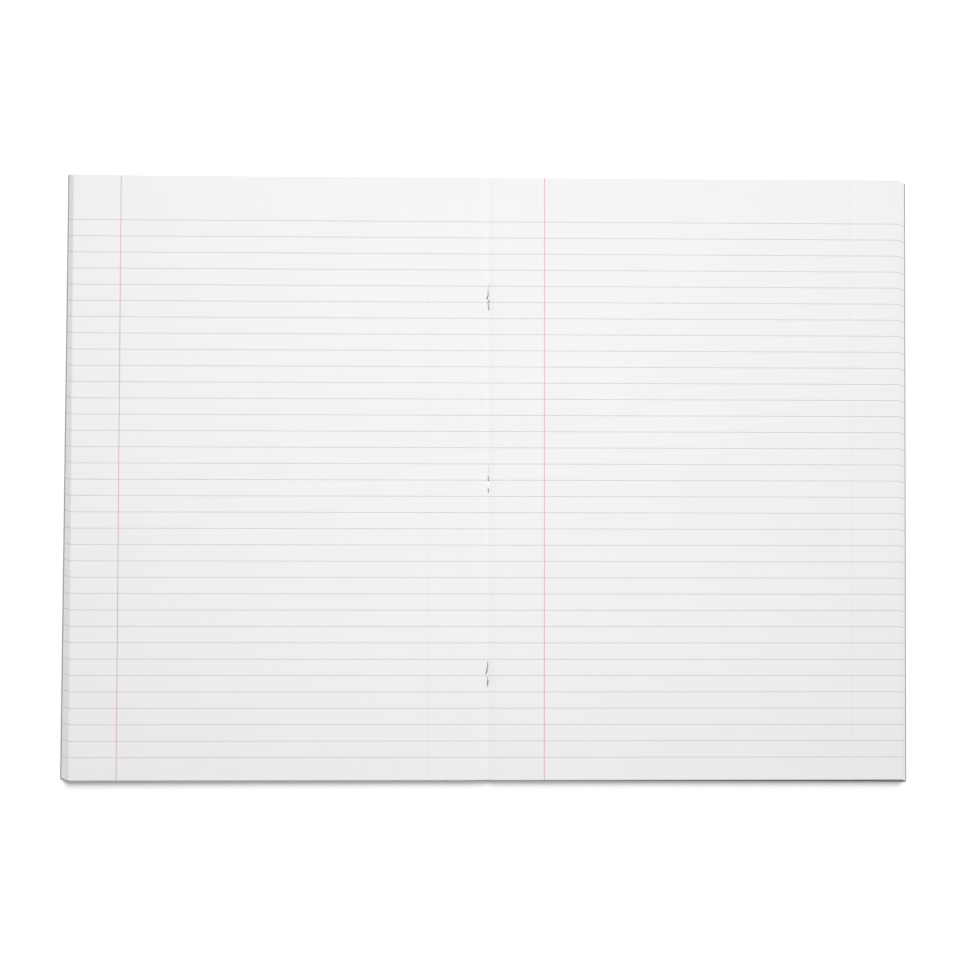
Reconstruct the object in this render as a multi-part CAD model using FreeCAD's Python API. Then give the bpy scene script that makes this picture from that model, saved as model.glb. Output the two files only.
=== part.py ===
import FreeCAD, Part
import os
from math import cos, pi, radians, sin

os.makedirs("parts", exist_ok=True)

# the cover, in millimetres
page_height = 297.0
cover_width = 208.0
cover_thickness = 0.35

# the folded sheets: the height each adds as it lies, its extra width over the one above, their turn in degrees
sheet_count = 24
sheet_lie = 0.15
sheet_step = 0.15
sheet_turn = 0.26

# the staples, their places as shares of the page height, and the room around the wire
wire = 0.5
crown_length = 13.0
end_gap = 1.0
bend_ratio = 0.7
skim = 0.02
hole_room = 0.12
staple_shares = {"staple_top": 0.3, "staple_middle": -0.003, "staple_bottom": -0.323}

# the dip of the pages into the fold, and the rise of the cover over the crowns of the staples
dip_spare = 0.3
dip_width = 9.0
rise_width = 12.0
pull_share = 0.33
level_share = 0.5
steep = 1.0
level = 0.0

# sizes that follow
low_z = cover_thickness
high_z = low_z + sheet_count * sheet_lie
page_width = cover_width - sheet_count * sheet_step
dip_z = high_z - wire - dip_spare
rise_z = wire + 2.0 * skim
head_y = page_height / 2.0
wire_radius = wire / 2.0
bend_radius = bend_ratio * wire
crown_z = wire_radius + skim
end_z = dip_z + wire_radius + skim


# a line across the notebook that leaves the fold at one height and becomes level at another
def easing(side, fold_z, far_z, width, pull):
    shares = ((0.0, 0.0), (pull_share, pull), (level_share, 1.0), (1.0, 1.0))
    curve = Part.BezierCurve()
    curve.setPoles([FreeCAD.Vector(side * width * along, -page_height, fold_z + (far_z - fold_z) * up)
                    for along, up in shares])
    return curve.toShape()


# everything between two such lines, on one side of the fold
def layer(side, under, over):
    start, end = under.Vertexes[0].Point, under.Vertexes[-1].Point
    over_start, over_end = over.Vertexes[0].Point, over.Vertexes[-1].Point
    beyond = FreeCAD.Vector(side * cover_width, 0.0, 0.0)
    fold_side = Part.makePolygon([start, over_start])
    far_side = Part.makePolygon([end, end + beyond, over_end + beyond, over_end])
    rim = Part.Wire(Part.__sortEdges__([under, over] + fold_side.Edges + far_side.Edges))
    return Part.Face(rim).extrude(FreeCAD.Vector(0.0, 2.0 * page_height, 0.0))


# the outline of half a sheet, turned about the middle of the fold but still ending on it
def outline(side, width, turn, z):
    angle = radians(turn)
    fore = [(side * width, head_y), (side * width, -head_y)]
    turned = [(x * cos(angle) - y * sin(angle), x * sin(angle) + y * cos(angle)) for x, y in fore]
    points = [FreeCAD.Vector(x, y, z) for x, y in [(0.0, -head_y), (0.0, head_y)] + turned]
    return Part.makePolygon(points + points[:1])


# the upright holes for the legs of the staples
def leg_holes():
    feet = [FreeCAD.Vector(0.0, share * page_height + end * crown_length / 2.0, 0.0)
            for share in staple_shares.values() for end in (-1.0, 1.0)]
    return [Part.makeCylinder(wire_radius + hole_room, high_z, foot) for foot in feet]


# half of the card cover, up to the fold
def cover(side):
    under = easing(side, rise_z, 0.0, rise_width, level)
    over = easing(side, rise_z + cover_thickness, low_z, rise_width, level)
    card = Part.Face(outline(side, cover_width, 0.0, 0.0)).extrude(FreeCAD.Vector(0.0, 0.0, high_z))
    return layer(side, under, over).common(card).cut(leg_holes())


# half of the pages, which get narrower towards the sheet on top
def pages(side):
    under = easing(side, rise_z + cover_thickness, low_z, rise_width, level)
    over = easing(side, dip_z, high_z, dip_width, steep)
    sheets = Part.makeLoft([outline(side, cover_width, 0.0, low_z),
                            outline(side, page_width, sheet_turn, high_z)], True, True)
    return layer(side, under, over).common(sheets).cut(leg_holes())


# a staple: its crown under the fold, two legs and their ends bent towards each other
def staple(share):
    near = share * page_height - crown_length / 2.0
    far = near + crown_length
    end_length = (crown_length - end_gap) / 2.0
    path = [FreeCAD.Vector(0.0, y, z) for y, z in (
        (near + end_length, end_z), (near, end_z), (near, crown_z),
        (far, crown_z), (far, end_z), (far - end_length, end_z))]
    edges = []
    start = path[0]
    for before, corner, after in zip(path, path[1:], path[2:]):
        back = (before - corner).normalize() * bend_radius
        ahead = (after - corner).normalize() * bend_radius
        middle = corner + (back + ahead) * (1.0 - cos(pi / 4.0))
        edges.append(Part.makeLine(start, corner + back))
        edges.append(Part.Arc(corner + back, middle, corner + ahead).toShape())
        start = corner + ahead
    edges.append(Part.makeLine(start, path[-1]))
    ring = Part.Wire(Part.makeCircle(wire_radius, path[0], path[1] - path[0]))
    return Part.Wire(edges).makePipeShell([ring], True, True)


cover(-1.0).exportStep("parts/front_cover.step")
cover(1.0).exportStep("parts/back_cover.step")
pages(-1.0).exportStep("parts/left_pages.step")
pages(1.0).exportStep("parts/right_pages.step")
for name, share in staple_shares.items():
    staple(share).exportStep("parts/" + name + ".step")
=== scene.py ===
import math

import bpy
from mathutils import Matrix, Vector


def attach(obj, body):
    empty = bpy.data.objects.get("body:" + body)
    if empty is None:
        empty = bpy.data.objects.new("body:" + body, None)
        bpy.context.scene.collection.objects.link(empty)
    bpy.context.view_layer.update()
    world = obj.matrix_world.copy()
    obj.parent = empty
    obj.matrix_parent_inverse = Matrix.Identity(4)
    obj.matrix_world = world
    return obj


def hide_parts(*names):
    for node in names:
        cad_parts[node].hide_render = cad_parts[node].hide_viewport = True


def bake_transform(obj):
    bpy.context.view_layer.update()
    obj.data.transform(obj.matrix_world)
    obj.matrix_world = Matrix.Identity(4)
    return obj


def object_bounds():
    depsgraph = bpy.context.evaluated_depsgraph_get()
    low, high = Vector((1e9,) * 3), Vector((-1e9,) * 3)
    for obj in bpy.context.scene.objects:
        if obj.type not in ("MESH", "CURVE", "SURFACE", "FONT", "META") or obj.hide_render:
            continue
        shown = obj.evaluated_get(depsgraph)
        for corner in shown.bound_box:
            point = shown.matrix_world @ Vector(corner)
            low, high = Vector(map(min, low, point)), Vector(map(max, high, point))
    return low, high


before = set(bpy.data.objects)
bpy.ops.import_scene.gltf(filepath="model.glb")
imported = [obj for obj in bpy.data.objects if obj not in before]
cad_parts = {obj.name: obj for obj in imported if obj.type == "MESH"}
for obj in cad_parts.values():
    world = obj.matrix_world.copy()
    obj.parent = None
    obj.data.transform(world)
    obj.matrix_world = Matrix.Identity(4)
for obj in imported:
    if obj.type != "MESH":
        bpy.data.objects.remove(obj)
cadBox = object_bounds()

mm = 0.001
print("frame loaded:", ", ".join(sorted(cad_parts)))

# what the whole notebook shares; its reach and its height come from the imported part
book = {
    "pageHeight": 297 * mm,
    "coverHalf": cadBox[1][0],      # fold to fore edge of the cover
    "coverThick": 0.35 * mm,
    "tailShows": 0.4 * mm,          # cover beyond the pages at the tail
    "sheets": 24,
    "flatTop": cadBox[1][2],        # page surface away from the fold
    "turn": math.radians(0.26),     # turn of the top sheet against the cover
    "foldShift": 0.4 * mm,          # crease of the top sheet beside the crease of the cover
    "hingeHeight": 4.0 * mm,
    "bendReach": 3.0 * mm,          # half the width that bends round the fold when it closes
    "dipHeight": 3.15 * mm,         # page surface in the fold
    "dipWidth": 9.0 * mm,
    "riseHeight": 0.54 * mm,        # underside of the cover in the fold
    "riseWidth": 12.0 * mm,
    "leaving": 0.33,                # pull of the curve as it leaves the fold
    "arriving": 0.5,                # and as it becomes level
    "curlLeft": 0.4 * mm,           # lift of the cover's fore edges
    "curlRight": 0.2 * mm,
    "curlStart": 186.0 * mm,
}
half = book["pageHeight"] / 2


# one output of a node, which adds, multiplies and compares like a number
class Signal:
    def __init__(self, bench, socket):
        self.bench, self.socket = bench, socket

    # another output of the same node
    def output(self, key):
        return Signal(self.bench, self.socket.node.outputs[key])

    def maths(self, operation, *values, clamp=False):
        places = {f"i{place}": value for place, value in enumerate(values)}
        return self.bench.node("ShaderNodeMath", {"operation": operation, "use_clamp": clamp}, **places)

    def __add__(self, other):
        return self.maths("ADD", self, other)

    def __radd__(self, other):
        return self.maths("ADD", other, self)

    def __sub__(self, other):
        return self.maths("SUBTRACT", self, other)

    def __rsub__(self, other):
        return self.maths("SUBTRACT", other, self)

    def __mul__(self, other):
        return self.maths("MULTIPLY", self, other)

    def __rmul__(self, other):
        return self.maths("MULTIPLY", other, self)

    def __truediv__(self, other):
        return self.maths("DIVIDE", self, other)

    def __rtruediv__(self, other):
        return self.maths("DIVIDE", other, self)

    def __abs__(self):
        return self.maths("ABSOLUTE", self)

    def sine(self):
        return self.maths("SINE", self)

    def larger(self, other):
        return self.maths("MAXIMUM", self, other)

    def clamped(self):
        return self.maths("ADD", self, 0.0, clamp=True)

    # how far a pattern swings from its middle, by a share
    def swung(self, share):
        return (self - 0.5) * share

    # 0 below low, 1 above high, eased between
    def between(self, low, high):
        return self.bench.node("ShaderNodeMapRange", {"interpolation_type": "SMOOTHSTEP"},
                               i0=self, i1=low, i2=high, i3=0.0, i4=1.0)


# a node tree that the script fills
class Bench:
    def __init__(self, tree):
        self.tree = tree
        tree.nodes.clear()

    def plug(self, value, socket):
        if isinstance(value, Signal):
            self.tree.links.new(value.socket, socket)
        elif value is not None:
            socket.default_value = value

    # a node's kind, its settings, then its sockets by name, or by place as i0, i1, i2
    def node(self, kind, settings=None, out=0, **sockets):
        made = self.tree.nodes.new(kind)
        for name, value in (settings or {}).items():
            setattr(made, name, value)
        for name, value in sockets.items():
            key = int(name[1:]) if name[1:].isdigit() else name.replace("_", " ")
            self.plug(value, made.inputs[key])
        return Signal(self, made.outputs[out]) if made.outputs else None

    def mix(self, factor, first, second):
        return self.node("ShaderNodeMix", {"data_type": "RGBA"}, out=2, i0=factor, i6=first, i7=second)

    # a pattern is given by its scale, detail and roughness
    def noise(self, place, pattern):
        scale, detail, roughness = pattern
        return self.node("ShaderNodeTexNoise", Vector=place, Scale=scale, Detail=detail, Roughness=roughness)

    # one number that the mesh carries
    def carried(self, name):
        return self.node("ShaderNodeAttribute", {"attribute_name": name}, out="Fac")

    # a vector's own three numbers
    def parts(self, vector):
        split = self.node("ShaderNodeSeparateXYZ", i0=vector)
        return [split.output(place) for place in range(3)]

    def vector(self, operation, first, second):
        return self.node("ShaderNodeVectorMath", {"operation": operation}, i0=first, i1=second)


def linked(name, data):
    obj = bpy.data.objects.new(name, data)
    bpy.context.scene.collection.objects.link(obj)
    return obj


# a mesh whose UV is its place on the open sheet, so that a pattern stays on the paper as it bends
def meshObject(name, points, faces, numbers=None):
    mesh = bpy.data.meshes.new(name)
    mesh.from_pydata(points, [], faces)
    for key, values in (numbers or {}).items():
        mesh.attributes.new(key, "FLOAT", "POINT").data.foreach_set("value", values)
    layer = mesh.uv_layers.new(name="pageUV")
    for loop in mesh.loops:
        layer.data[loop.index].uv = points[loop.vertex_index][:2]
    mesh.validate()
    return linked(name, mesh)


halvings = 40       # of the search for a point on the curve


# height over the table of a curve that leaves the fold at one height and becomes level at another;
# its height first stays with the fold at a pull of 0 and makes for the level at a pull of 1
def easedHeight(x, foldHeight, farHeight, width, pull):
    x = min(abs(x), width)
    low, high = 0.0, 1.0
    for halving in range(halvings):
        t = (low + high) / 2
        first, second, third = 3 * (1 - t) ** 2 * t, 3 * (1 - t) * t * t, t ** 3
        reached = (first * book["leaving"] + second * book["arriving"] + third) * width
        low, high = (t, high) if reached < x else (low, t)
    return foldHeight + (farHeight - foldHeight) * (first * pull + second + third)


def coverUnder(x):
    share = max(0.0, (abs(x) - book["curlStart"]) / (book["coverHalf"] - book["curlStart"]))
    curl = book["curlLeft" if x < 0 else "curlRight"] * share ** 2
    return easedHeight(x, book["riseHeight"], 0.0, book["riseWidth"], 0.0) + curl


def pageOver(x):
    return easedHeight(x, book["dipHeight"], book["flatTop"], book["dipWidth"], 1.0)


# steps across the spread: close together where the fold bends, wide apart further out; and rows along it
steps = {"near": 0.25 * mm, "nearCount": 17, "middle": 0.7 * mm, "middleCount": 12, "farCount": 14,
         "pageRows": 13, "coverRows": 9}


def acrossPlaces(reach):
    near = [steps["near"] * i for i in range(steps["nearCount"])]
    middle = [near[-1] + steps["middle"] * (i + 1) for i in range(steps["middleCount"])]
    far = [middle[-1] + (reach - middle[-1]) * (i + 1) / steps["farCount"] for i in range(steps["farCount"])]
    right = near + middle + far
    return [-x for x in reversed(right[1:])] + right


def alongPlaces(tail, head, rows):
    return [tail + (head - tail) * j / (rows - 1) for j in range(rows)]


# a closed strip or sheet that lies flat at zero and is lifted later
def flatSlab(across, along, thick):
    points = [(x, y, z) for z in (0.0, thick) for y in along for x in across]
    wide, deep = len(across), len(along)

    def at(i, j, level):
        return (level * deep + j) * wide + i

    faces = []
    for j in range(deep - 1):
        for i in range(wide - 1):
            faces.append((at(i, j, 1), at(i + 1, j, 1), at(i + 1, j + 1, 1), at(i, j + 1, 1)))
            faces.append((at(i, j, 0), at(i, j + 1, 0), at(i + 1, j + 1, 0), at(i + 1, j, 0)))
    end = deep - 1
    for i in range(wide - 1):
        faces.append((at(i, 0, 0), at(i + 1, 0, 0), at(i + 1, 0, 1), at(i, 0, 1)))
        faces.append((at(i + 1, end, 0), at(i, end, 0), at(i, end, 1), at(i + 1, end, 1)))
    end = wide - 1
    for j in range(deep - 1):
        faces.append((at(0, j + 1, 0), at(0, j, 0), at(0, j, 1), at(0, j + 1, 1)))
        faces.append((at(end, j, 0), at(end, j + 1, 0), at(end, j + 1, 1), at(end, j, 1)))
    return points, faces


# joins flat pieces into one object that knows how high the cover and the top page are at each point
def slabObject(name, slabs):
    points, faces = [], []
    for slabPoints, slabFaces in slabs:
        start = len(points)
        points += slabPoints
        faces += [tuple(start + corner for corner in face) for face in slabFaces]
    heights = {"underHeight": [coverUnder(x) + book["coverThick"] for x, y, z in points],
               "overHeight": [pageOver(x) for x, y, z in points]}
    return meshObject(name, points, faces, heights)


def newTree(name, inputs):
    tree = bpy.data.node_groups.new(name, "GeometryNodeTree")
    tree.interface.new_socket("Geometry", in_out="INPUT", socket_type="NodeSocketGeometry")
    sockets = {}
    for label, kind, value in inputs + (("Material", "Material", None),):
        socket = tree.interface.new_socket(label, in_out="INPUT", socket_type="NodeSocket" + kind)
        if value is not None:
            socket.default_value = value
        sockets[label] = socket.identifier
    tree.interface.new_socket("Geometry", in_out="OUTPUT", socket_type="NodeSocketGeometry")
    bench = Bench(tree)
    start = bench.node("NodeGroupInput")
    given = {socket.name: Signal(bench, socket) for socket in start.socket.node.outputs if socket.name}
    return bench, given, sockets


def closeTree(bench, geometry, material):
    done = bench.node("GeometryNodeSetMaterial", Geometry=geometry, Material=material)
    bench.node("NodeGroupOutput", i0=done)


# runs a tree on an object once and keeps what comes out as the object's plain mesh
def grow(obj, bench, sockets, values):
    modifier = obj.modifiers.new(bench.tree.name, "NODES")
    modifier.node_group = bench.tree
    for label, value in values.items():
        modifier[sockets[label]] = value
    bpy.context.view_layer.update()
    graph = bpy.context.evaluated_depsgraph_get()
    mesh = bpy.data.meshes.new_from_object(obj.evaluated_get(graph), preserve_all_data_layers=True,
                                           depsgraph=graph)
    obj.modifiers.clear()
    obj.data = mesh
    mesh.name = obj.name


# how much each sheet may differ, as shares of the unevenness; waves in radians per metre, drifts per sheet
loose = {"reach": 0.4, "turn": 2.0, "ripple": 0.5, "acrossWaves": 31.0, "acrossDrift": 1.7,
         "alongWaves": 23.0, "alongDrift": 2.3}


# copies what comes in once per sheet, widens and turns each copy and lifts it to its place in the pile
def sheetTree(name):
    bench, given, sockets = newTree(name, (
        ("Sheets", "Int", 24), ("Lowest", "Int", 0), ("All Sheets", "Int", 24),
        ("Half Width", "Float", 0.2), ("Step", "Float", 0.0001), ("Turn", "Float", 0.0),
        ("Fold Shift", "Float", 0.0), ("Unevenness", "Float", 0.0), ("Lift", "Float", 0.0),
        ("Seed", "Int", 1)))

    def store(geometry, label, value):
        return bench.node("GeometryNodeStoreNamedAttribute", {"data_type": "FLOAT", "domain": "POINT"},
                          Geometry=geometry, Name=label, Value=value)

    def stored(label):
        return bench.node("GeometryNodeInputNamedAttribute", {"data_type": "FLOAT"}, Name=label)

    number = bench.node("GeometryNodeInputIndex") + given["Lowest"]
    pile = bench.node("GeometryNodeMeshLine", Count=given["Sheets"], Offset=(0, 0, 0))
    pile = store(pile, "sheetNumber", number)
    for shift, label in enumerate(("sheetTurn", "sheetReach", "sheetSlip", "sheetShade"), 1):
        dice = bench.node("FunctionNodeRandomValue", {"data_type": "FLOAT"}, out=1,
                          i2=-1.0, i3=1.0, ID=number, Seed=given["Seed"] + shift)
        pile = store(pile, label, dice)
    copies = bench.node("GeometryNodeInstanceOnPoints", Points=pile, Instance=given["Geometry"])
    copies = bench.node("GeometryNodeRealizeInstances", Geometry=copies)

    x, y, z = bench.parts(bench.node("GeometryNodeInputPosition"))
    uneven = given["Unevenness"]
    sheet, top = stored("sheetNumber"), given["All Sheets"]
    share = (sheet + 1.0) / top
    outward = abs(x) / given["Half Width"]
    wider = (top - 1.0 - sheet) * given["Step"] + stored("sheetReach") * uneven * loose["reach"]
    newX = x * (1.0 + wider / given["Half Width"])
    turn = given["Turn"] * share + stored("sheetTurn") * uneven * loose["turn"]
    shift = given["Fold Shift"] * share * (1.0 - outward)
    height = stored("underHeight") + (stored("overHeight") - stored("underHeight")) * share
    # loose paper never lies quite even towards its edges
    acrossWave = (x * loose["acrossWaves"] + sheet * loose["acrossDrift"]).sine()
    alongWave = (y * loose["alongWaves"] - sheet * loose["alongDrift"]).sine()
    ripple = acrossWave * alongWave * outward * uneven * loose["ripple"]
    newY = y + newX * turn + stored("sheetSlip") * uneven
    newZ = height + z + given["Lift"] + ripple
    moved = bench.node("ShaderNodeCombineXYZ", X=newX - y * turn + shift, Y=newY, Z=newZ)
    copies = bench.node("GeometryNodeSetPosition", Geometry=copies, Position=moved)
    closeTree(bench, copies, given["Material"])
    return bench, sockets


# repeats one printed line down the page
def lineTree(name):
    bench, given, sockets = newTree(name, (
        ("Lines", "Int", 34), ("Pitch", "Float", 0.008), ("First", "Float", 0.1265)))
    rows = bench.node("GeometryNodeMeshLine", Count=given["Lines"],
                      Start_Location=bench.node("ShaderNodeCombineXYZ", Y=given["First"]),
                      Offset=bench.node("ShaderNodeCombineXYZ", Y=0.0 - given["Pitch"]))
    lines = bench.node("GeometryNodeInstanceOnPoints", Points=rows, Instance=given["Geometry"])
    closeTree(bench, bench.node("GeometryNodeRealizeInstances", Geometry=lines), given["Material"])
    return bench, sockets


# draws a round wire along a path, with its corners bent and not broken
def wireTree(name):
    bench, given, sockets = newTree(name, (
        ("Radius", "Float", 0.00025), ("Sides", "Int", 12),
        ("Bend", "Float", 0.00035), ("Bend Steps", "Int", 5)))
    path = bench.node("GeometryNodeMeshToCurve", Mesh=given["Geometry"])
    path = bench.node("GeometryNodeFilletCurve", {"mode": "POLY"}, Curve=path, Count=given["Bend Steps"],
                      Radius=given["Bend"], Limit_Radius=True)
    ring = bench.node("GeometryNodeCurvePrimitiveCircle", Resolution=given["Sides"], Radius=given["Radius"])
    tube = bench.node("GeometryNodeCurveToMesh", Curve=path, Profile_Curve=ring, Fill_Caps=True)
    closeTree(bench, bench.node("GeometryNodeSetShadeSmooth", Geometry=tube), given["Material"])
    return bench, sockets


def newMaterial(name):
    material = bpy.data.materials.new(name)
    material.use_nodes = True
    return material, Bench(material.node_tree)


# ends a material in its shader; what is the same all over stays on the shader's own sockets
def closeMaterial(bench, specular, relief=None, **sockets):
    shader = bench.node("ShaderNodeBsdfPrincipled", Specular_IOR_Level=specular, **sockets)
    if relief:
        height, strength, depth = relief
        bump = bench.node("ShaderNodeBump", Strength=strength, Distance=depth, Height=height)
        bench.plug(bump, shader.socket.node.inputs["Normal"])
    bench.node("ShaderNodeOutputMaterial", Surface=shader)


paper = {
    "colour": (0.875, 0.876, 0.872, 1), "shade": (0.835, 0.838, 0.838, 1),
    "edge": (0.80, 0.795, 0.78, 1), "edgeWidth": 0.8 * mm,      # hair along the fore edge, a little yellowed by handling, with painted shade added
    "wearShadeLeft": 1.1, "wearShadeRight": 0.1,                          # how strong that tint is on each side: handling, and on the left painted shade where the bevel lies away from the light
    "edgeEven": 0.35, "edgePatchy": 0.5,                        # what of it is even, and what in patches
    "cut": (0.62, 0.615, 0.60, 1), "cutWidth": 0.01 * mm,       # painted shade on the ends at head and tail
    "cloud": (38.0, 4.0, 0.6), "fibre": (2600.0, 3.0, 0.7),     # patterns
    "cloudShare": 0.9, "fibreShare": 0.8, "sheetShare": 0.12, "middle": 0.35,
    "driftAcross": 0.37, "driftAlong": 0.21,                    # pattern shift from sheet to sheet
    "cloudRaised": 0.3, "fibreRaised": 0.7, "relief": 0.5, "depth": 0.012 * mm,
    "roughness": 0.86, "roughSpread": 0.1, "specular": 0.25,
}


def paperMaterial():
    material, bench = newMaterial("writingPaper")
    place = bench.node("ShaderNodeUVMap", {"uv_map": "pageUV"})
    x, y, z = bench.parts(place)
    sheet, tone = bench.carried("sheetNumber"), bench.carried("sheetShade")
    drift = bench.node("ShaderNodeCombineXYZ", X=sheet * paper["driftAcross"], Y=sheet * paper["driftAlong"])
    shifted = bench.vector("ADD", place, drift)
    cloud, fibre = bench.noise(shifted, paper["cloud"]), bench.noise(shifted, paper["fibre"])
    mixed = (cloud.swung(paper["cloudShare"]) + fibre.swung(paper["fibreShare"])
             + tone * paper["sheetShare"] + paper["middle"]).clamped()
    body = bench.mix(mixed, paper["colour"], paper["shade"])
    # the outermost hair of each leaf is a little yellowed by handling; painted shade darkens it far more on
    # the left, where the bevel lies away from the light
    foreEdge = book["coverHalf"] - sheets["coverShows"] - sheets["foreSpread"]
    across = (x / foreEdge + 1.0) * 0.5
    # strength of the tint across the spread: handling, and painted shade on the left
    handled = paper["wearShadeLeft"] + across * (paper["wearShadeRight"] - paper["wearShadeLeft"])
    patchy = paper["edgeEven"] + paper["edgePatchy"] * cloud
    wornShadedEdge = abs(x).between(foreEdge - paper["edgeWidth"], foreEdge) * patchy * handled
    # painted shade on the cut edges at head and tail, standing in for the light lost between the sheets
    cut = abs(y).between(half - paper["cutWidth"], half)
    body = bench.mix(cut, bench.mix(wornShadedEdge, body, paper["edge"]), paper["cut"])
    raised = fibre * paper["fibreRaised"] + cloud * paper["cloudRaised"]
    relief = (raised, paper["relief"], paper["depth"])
    closeMaterial(bench, paper["specular"], relief, Base_Color=body,
                  Roughness=paper["roughness"] + paper["roughSpread"] * fibre)
    return material


# each ink where it is strong and where it is faint; the ghost is the reverse page's margin showing through
ink = {
    "ruleInk": ((0.56, 0.56, 0.565, 1), (0.655, 0.655, 0.66, 1)),
    "marginInk": ((0.65, 0.34, 0.35, 1), (0.76, 0.47, 0.48, 1)),
    "ghostInk": ((0.808, 0.796, 0.796, 1), (0.837, 0.835, 0.832, 1)),
    "patches": (420.0, 4.0, 0.65), "drift": (14.0, 2.0, 0.5),   # patterns
    "patchShare": 1.6, "driftShare": 0.8, "middle": 0.45,
    "roughness": 0.72, "roughSpread": 0.2, "specular": 0.25,
}


def inkMaterial(name):
    material, bench = newMaterial(name)
    place = bench.node("ShaderNodeUVMap", {"uv_map": "pageUV"})
    patches, drift = bench.noise(place, ink["patches"]), bench.noise(place, ink["drift"])
    amount = patches.swung(ink["patchShare"]) + drift.swung(ink["driftShare"]) + ink["middle"]
    closeMaterial(bench, ink["specular"], Base_Color=bench.mix(amount.clamped(), *ink[name]),
                  Roughness=ink["roughness"] + ink["roughSpread"] * patches)
    return material


card = {
    "colour": (0.207, 0.234, 0.162, 1), "dark": (0.160, 0.186, 0.124, 1), "rubbed": (0.40, 0.42, 0.34, 1),
    "paleFleck": (0.31, 0.33, 0.255, 1), "darkFleck": (0.105, 0.120, 0.080, 1), "fleckShare": 0.5,
    "grain": (1500.0, 4.0, 0.65), "fibre": (260.0, 5.0, 0.7), "cloud": (30.0, 4.0, 0.6),    # patterns
    "paleOnes": (620.0, 2.0, 0.6), "darkOnes": (496.0, 2.0, 0.6), "handled": (11.0, 5.0, 0.65),
    "fibreAcross": 0.35, "fibreAlong": 2.2, "apart": (0.73, 0.41, 0.0),     # keeps two patterns apart
    "grainShare": 1.1, "fibreShare": 0.9, "cloudShare": 0.8, "middle": 0.5,
    "paleRange": (0.64, 0.72), "darkRange": (0.65, 0.73),       # where a pattern begins and is full
    "handledRange": (0.35, 0.75), "rubRange": (0.35, 0.62),
    "foreRub": 1.4 * mm, "tailRub": 1.2 * mm, "spineRub": 2.4 * mm, "spineCore": 0.4 * mm,
    "edgeShare": 0.25, "cornerShare": 0.6, "spineShare": 0.5,
    "roughness": 0.50, "grainRough": 0.2, "rubRough": 0.1, "handledRough": 0.14,
    "grainRaised": 0.6, "fibreRaised": 0.4, "relief": 0.6, "depth": 0.04 * mm, "specular": 0.35,
}


def cardMaterial():
    material, bench = newMaterial("coverCard")
    place = bench.node("ShaderNodeUVMap", {"uv_map": "pageUV"})
    x, y, z = bench.parts(place)
    grain, cloud = bench.noise(place, card["grain"]), bench.noise(place, card["cloud"])
    drawnOut = bench.node("ShaderNodeCombineXYZ", X=x * card["fibreAcross"], Y=y * card["fibreAlong"])
    fibre = bench.noise(drawnOut, card["fibre"])
    mixed = (grain.swung(card["grainShare"]) + fibre.swung(card["fibreShare"])
             + cloud.swung(card["cloudShare"]) + card["middle"]).clamped()
    body = bench.mix(mixed, card["colour"], card["dark"])
    # fibres of another shade pressed into the card
    apart = bench.vector("ADD", place, card["apart"])
    paleOnes = bench.noise(place, card["paleOnes"]).between(*card["paleRange"])
    darkOnes = bench.noise(apart, card["darkOnes"]).between(*card["darkRange"])
    body = bench.mix(paleOnes * card["fleckShare"], body, card["paleFleck"])
    body = bench.mix(darkOnes * card["fleckShare"], body, card["darkFleck"])
    handled = bench.noise(apart, card["handled"]).between(*card["handledRange"])
    # rubbed pale along the spine and the outer edges, most at the corners
    edgeX = abs(x).between(book["coverHalf"] - card["foreRub"], book["coverHalf"])
    edgeY = abs(y).between(half - card["tailRub"], half)
    spine = 1.0 - abs(x).between(card["spineCore"], card["spineRub"])
    rub = (edgeX + edgeY) * card["edgeShare"] + edgeX * edgeY * card["cornerShare"]
    rub = (rub + spine * card["spineShare"]) * grain.between(*card["rubRange"])
    rough = card["roughness"] + card["grainRough"] * grain + card["rubRough"] * rub
    raised = grain * card["grainRaised"] + fibre * card["fibreRaised"]
    relief = (raised, card["relief"], card["depth"])
    closeMaterial(bench, card["specular"], relief, Base_Color=bench.mix(rub.clamped(), body, card["rubbed"]),
                  Roughness=rough + card["handledRough"] * handled)
    return material


steel = {
    # the dark colour serves random tarnish patches and painted shade under the raised ends; the glint colour
    # is a painted highlight
    "bright": (0.62, 0.62, 0.63, 1), "colour": (0.42, 0.42, 0.43, 1), "dullAndShaded": (0.11, 0.108, 0.106, 1),
    "paintedHighlight": (0.74, 0.74, 0.74, 1), "patchShare": 0.5, "paintedLightShare": 1.1,
    "patches": (700.0, 3.0, 0.6), "colourRange": (0.4, 0.68),       # where the wire is less bright
    "drawn": (900.0, 4.0, 0.6), "drawnShape": (3.0, 0.25, 3.0),     # streaks along the wire
    "roughness": 0.30, "roughSpread": 0.22, "relief": 0.4, "depth": 0.01 * mm, "specular": 0.5,
}


def wireMaterial():
    material, bench = newMaterial("stapleWire")
    place = bench.node("ShaderNodeTexCoord", out="Object")
    drawn = bench.noise(bench.vector("MULTIPLY", place, steel["drawnShape"]), steel["drawn"])
    patches = bench.noise(place, steel["patches"])
    fresh = bench.mix(patches.between(*steel["colourRange"]), steel["bright"], steel["colour"])
    # the carried value is painted light: below zero a painted highlight, above zero painted shade where a
    # raised end throws its shadow; the patches add random darker tarnish
    paintedLight = bench.carried("paintedLight")
    fresh = bench.mix((0.0 - paintedLight).clamped(), fresh, steel["paintedHighlight"])
    dullAndShadedPart = paintedLight * steel["paintedLightShare"] + patches.swung(steel["patchShare"])
    closeMaterial(bench, steel["specular"], (drawn, steel["relief"], steel["depth"]), Metallic=1.0,
                  Base_Color=bench.mix(dullAndShadedPart.clamped(), fresh, steel["dullAndShaded"]),
                  Roughness=steel["roughness"] + steel["roughSpread"] * drawn)
    return material


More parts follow.
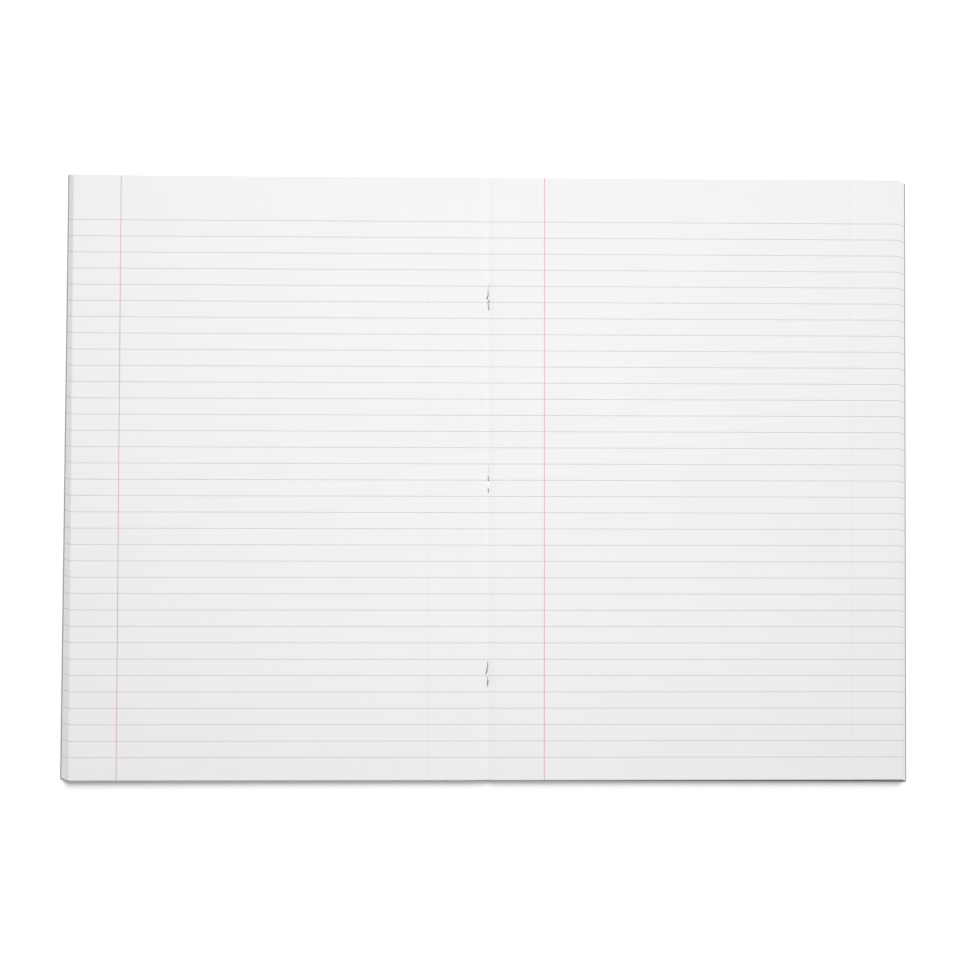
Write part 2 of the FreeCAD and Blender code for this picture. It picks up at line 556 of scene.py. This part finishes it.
# the folded sheets: each one lower down reaches a little further out
sheets = {
    "thick": 0.085 * mm, "coverShows": 0.4 * mm, "foreSpread": 3.2 * mm,
    "unevenness": 0.05 * mm, "seed": 7,
}
sheets["topHalf"] = book["coverHalf"] - sheets["coverShows"] - sheets["foreSpread"]
sheets["step"] = sheets["foreSpread"] / (book["sheets"] - 1)
rowPlaces = alongPlaces(-half, half, steps["pageRows"])
columnPlaces = acrossPlaces(sheets["topHalf"])
paperStuff = paperMaterial()
pileBench, pileSockets = sheetTree("nestedSheets")


# lifts flat pieces to their sheets, then lets them bend round the fold
def layOnSheets(obj, material, count, lowest, lift):
    grow(obj, pileBench, pileSockets, {
        "Sheets": count, "Lowest": lowest, "All Sheets": book["sheets"],
        "Half Width": sheets["topHalf"], "Step": sheets["step"], "Turn": book["turn"],
        "Fold Shift": book["foldShift"],
        "Unevenness": sheets["unevenness"] if lowest + count < book["sheets"] else 0.0,
        "Lift": lift, "Seed": sheets["seed"], "Material": material})
    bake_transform(obj)


def sheetPiece(name, count, lowest):
    piece = slabObject(name, [flatSlab(columnPlaces, rowPlaces, sheets["thick"])])
    layOnSheets(piece, paperStuff, count, lowest, -sheets["thick"])
    return piece


lowerSheets = sheetPiece("lowerSheets", book["sheets"] - 1, 0)
topSheet = sheetPiece("centreSheet", 1, book["sheets"] - 1)
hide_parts("left_pages", "right_pages")
print("sheets laid:", len(lowerSheets.data.polygons) + len(topSheet.data.polygons), "faces")

# the print: thin strips of ink that follow the sheets; a lean is a margin's drift down the page
printed = {
    "lines": 34, "pitch": 8 * mm, "first": 126.58 * mm, "ruleWidth": 0.33 * mm,
    "marginWidth": 0.38 * mm, "inkThick": 0.012 * mm, "endLength": 0.7 * mm,
    "margins": ((-181.05 * mm, 0.0005), (27.75 * mm, 0.0002)), "marginLift": 0.002 * mm,
    "reverseMargins": ((-29.15 * mm, -0.0011), (180.05 * mm, -0.0015)), "reverseLift": -0.006 * mm,
}
lineBench, lineSockets = lineTree("ruling")
ruleInk = inkMaterial("ruleInk")


# one printed line on the given places across, repeated down the page of each sheet
def ruledLines(name, places, count, lowest):
    edges = [-printed["ruleWidth"] / 2, printed["ruleWidth"] / 2]
    lines = slabObject(name, [flatSlab(across, edges, printed["inkThick"]) for across in places])
    grow(lines, lineBench, lineSockets, {"Lines": printed["lines"], "Pitch": printed["pitch"],
                                         "First": printed["first"], "Material": ruleInk})
    layOnSheets(lines, ruleInk, count, lowest, 0.0)
    return lines


# lines along the height of the page, each at its distance from the fold
def standingLines(name, lines, lift, inkName):
    slabs = []
    for x, lean in lines:
        edges = [x - printed["marginWidth"] / 2, x + printed["marginWidth"] / 2]
        points, faces = flatSlab(edges, rowPlaces, printed["inkThick"])
        slabs.append(([(px + lean * py, py, pz) for px, py, pz in points], faces))
    piece = slabObject(name, slabs)
    layOnSheets(piece, inkMaterial(inkName), 1, book["sheets"] - 1, lift)


# the sheets below the top one show only the ends of their lines
endPlaces = [[-sheets["topHalf"], printed["endLength"] - sheets["topHalf"]],
             [sheets["topHalf"] - printed["endLength"], sheets["topHalf"]]]
rules = ruledLines("rules", [columnPlaces], 1, book["sheets"] - 1)
ruleEnds = ruledLines("ruleEnds", endPlaces, book["sheets"] - 1, 0)
standingLines("margins", printed["margins"], printed["marginLift"], "marginInk")
standingLines("reverseMargins", printed["reverseMargins"], printed["reverseLift"], "ghostInk")
print("print laid:", len(rules.data.polygons) + len(ruleEnds.data.polygons), "faces of ruling")

# the cover: one sheet of card that runs round the spine
coverAlong = alongPlaces(-half - book["tailShows"], half, steps["coverRows"])
points, faces = flatSlab(acrossPlaces(book["coverHalf"]), coverAlong, book["coverThick"])
cover = meshObject("cover", [(x, y, z + coverUnder(x)) for x, y, z in points], faces)
cover.data.materials.append(cardMaterial())
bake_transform(cover)
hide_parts("front_cover", "back_cover")
print("cover made")

# the staples: each bent end is listed from its hole to its tip, in millimetres,
# as distance aside, distance from the hole, height over the fold and painted light: painted shade above
# zero, a painted highlight below
staples = {
    "wire": 0.5 * mm, "sides": 12, "crown": 13 * mm, "bend": 0.35 * mm, "bendSteps": 5,
    # the last value here is a little painted shade on the wire at the holes and along the crown
    "skim": 0.02 * mm, "holeLift": 0.1 * mm, "holeShade": 0.3,
    "staple_top": {
        "piece": "topStaple", "place": 89.1 * mm, "aside": 0.0,
        "upper": [(-0.1, 3.0, 0.24, 0.2), (-0.15, 5.2, 0.34, 0.6), (-0.5, 6.5, 0.42, 0.9),
                  (-0.7, 7.4, 0.46, 0.9)],
        "lower": [(0.2, 1.5, 0.34, 0.6), (0.0, 2.9, 0.32, 0.5), (-0.25, 3.9, 0.36, 0.5),
                  (0.35, 5.0, 0.46, 0.8)],
    },
    "staple_middle": {
        "piece": "middleStaple", "place": -1.2 * mm, "aside": 0.5 * mm,
        "upper": [(0.0, 3.2, 0.20, 0.0), (0.05, 4.4, 0.34, 0.1), (0.03, 5.2, 0.40, 0.5),
                  (0.0, 7.0, 0.46, 0.6)],
        "lower": [(0.0, 1.5, 0.40, 0.7), (0.05, 2.2, 0.30, 0.6), (0.0, 2.8, 0.22, -0.9),
                  (0.05, 5.2, 0.20, -1.0)],
    },
    "staple_bottom": {
        "piece": "bottomStaple", "place": -96.4 * mm, "aside": 0.5 * mm,
        "upper": [(0.15, 2.4, 0.26, 0.5), (-0.14, 4.7, 0.38, 0.9), (-0.55, 6.6, 0.46, 0.9)],
        "lower": [(0.28, 2.2, 0.38, 1.0), (0.16, 4.0, 0.30, 0.15), (-0.1, 5.8, 0.26, 0.05)],
    },
}
wireBench, wireSockets = wireTree("bentWire")
steelStuff = wireMaterial()


def stapleWire(node):
    shape = staples[node]
    middle = shape["aside"]
    legTop, crownLow = book["dipHeight"] + staples["holeLift"], staples["wire"] / 2 + staples["skim"]
    top, bottom = shape["place"] + staples["crown"] / 2, shape["place"] - staples["crown"] / 2

    def bentEnd(hole, inward, points):
        return [(middle + aside * mm, hole + inward * run * mm, book["dipHeight"] + rise * mm)
                for aside, run, rise, dullAndShaded in points]

    turns = ((top, legTop), (top, crownLow), (bottom, crownLow), (bottom, legTop))
    crown = [(middle, y, z) for y, z in turns]
    path = bentEnd(top, -1, reversed(shape["upper"])) + crown + bentEnd(bottom, 1, shape["lower"])
    ends = [[point[3] for point in shape[end]] for end in ("upper", "lower")]
    # painted light along the wire, with a little painted shade at the holes and along the crown
    paintedLight = ends[0][::-1] + [staples["holeShade"]] * len(crown) + ends[1]
    mesh = bpy.data.meshes.new(shape["piece"])
    mesh.from_pydata(path, [(i, i + 1) for i in range(len(path) - 1)], [])
    mesh.attributes.new("paintedLight", "FLOAT", "POINT").data.foreach_set("value", paintedLight)
    wire = linked(shape["piece"], mesh)
    grow(wire, wireBench, wireSockets, {
        "Radius": staples["wire"] / 2, "Sides": staples["sides"],
        "Bend": staples["bend"], "Bend Steps": staples["bendSteps"], "Material": steelStuff})
    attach(wire, "staples")
    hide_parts(node)


for node in ("staple_top", "staple_middle", "staple_bottom"):
    stapleWire(node)
print("staples bent")

# floor and light
studio = {
    "floor": 1.4, "floorLow": 0.02 * mm, "grain": (60.0, 3.0, 0.5),
    "pale": (0.80, 0.80, 0.80, 1), "paler": (0.78, 0.78, 0.785, 1), "floorWhite": 1.13,
    "fadeFrom": 6 * mm, "fadeTo": 30 * mm,      # beyond the book, where the floor becomes plain white
    "world": 0.27,
    "farBox": {"place": (0.45, 1.85, 2.36), "size": (2.0, 1.7), "watts": 71.4},
    "nearBox": {"place": (-0.03, 0.015, 0.5), "size": (0.3, 0.3), "watts": 0.61},
}
white = (1.0, 1.0, 1.0, 1.0)


# 1 for a ray of any of these kinds
def rayIs(bench, *kinds):
    rays = bench.node("ShaderNodeLightPath")
    found = rays.output(kinds[0])
    for kind in kinds[1:]:
        found = found.larger(rays.output(kind))
    return found


def floorMaterial():
    material, bench = newMaterial("paleFloor")
    seen = rayIs(bench, "Is Camera Ray", "Is Glossy Ray")
    place = bench.node("ShaderNodeTexCoord", out="Object")
    pale = bench.mix(bench.noise(place, studio["grain"]), studio["pale"], studio["paler"])
    shown = tuple(studio["floorWhite"] * part for part in white)
    lit = bench.node("ShaderNodeBsdfDiffuse", Color=bench.mix(seen, pale, shown))
    blank = bench.node("ShaderNodeEmission", Color=white, Strength=1.0)
    # further out the floor shows as plain white, like the ground behind it
    x, y, z = bench.parts(place)
    beside, beyond = abs(x) - book["coverHalf"], abs(y) - half
    far = beside.larger(beyond).between(studio["fadeFrom"], studio["fadeTo"])
    mixed = bench.node("ShaderNodeMixShader", i0=far * seen, i1=lit, i2=blank)
    bench.node("ShaderNodeOutputMaterial", Surface=mixed)
    return material


reach = studio["floor"] / 2
corners = [(-reach, -reach, 0), (reach, -reach, 0), (reach, reach, 0), (-reach, reach, 0)]
floor = meshObject("floor", corners, [(0, 1, 2, 3)])
floor.location.z = -studio["floorLow"]
floor.data.materials.append(floorMaterial())

world = bpy.data.worlds.new("studio")
bpy.context.scene.world = world
world.use_nodes = True
bench = Bench(world.node_tree)
seen = rayIs(bench, "Is Camera Ray", "Is Glossy Ray", "Is Transmission Ray")
strength = studio["world"] + seen * (1.0 - studio["world"])
ground = bench.node("ShaderNodeBackground", Color=white, Strength=strength)
bench.node("ShaderNodeOutputWorld", Surface=ground)

for name in ("farBox", "nearBox"):
    box = studio[name]
    lampData = bpy.data.lights.new(name, "AREA")
    lampData.shape, lampData.energy = "RECTANGLE", box["watts"]
    lampData.size, lampData.size_y = box["size"]
    lamp = linked(name, lampData)
    lamp.location = box["place"]
    lamp.rotation_euler = (-Vector(box["place"])).to_track_quat("-Z", "Y").to_euler()

# the camera looks almost straight down, a little from the tail and the left; angles in degrees
view = {
    "aside": -1.481, "towardsTail": 2.114, "roll": 0.344,
    "lookAt": (-3.59 * mm, -1.23 * mm, 0), "distance": 1.0, "lens": 75.8, "sensor": 36.0,
}
aside, lean, roll = (math.radians(view[key]) for key in ("aside", "towardsTail", "roll"))
back = Vector((math.sin(aside), -math.sin(lean) * math.cos(aside), math.cos(aside) * math.cos(lean)))
back = back.normalized()
right = Vector((0, 1, 0)).cross(back).normalized()
up = back.cross(right)
right, up = right * math.cos(roll) + up * math.sin(roll), up * math.cos(roll) - right * math.sin(roll)
spot = Vector(view["lookAt"]) + back * view["distance"]
cameraData = bpy.data.cameras.new("camera")
cameraData.lens, cameraData.sensor_width = view["lens"], view["sensor"]
camera = linked("camera", cameraData)
camera.matrix_world = Matrix(((right.x, up.x, back.x, spot.x), (right.y, up.y, back.y, spot.y),
                              (right.z, up.z, back.z, spot.z), (0, 0, 0, 1)))
bpy.context.scene.camera = camera
bpy.context.scene.view_settings.view_transform = "Standard"
print("studio set")
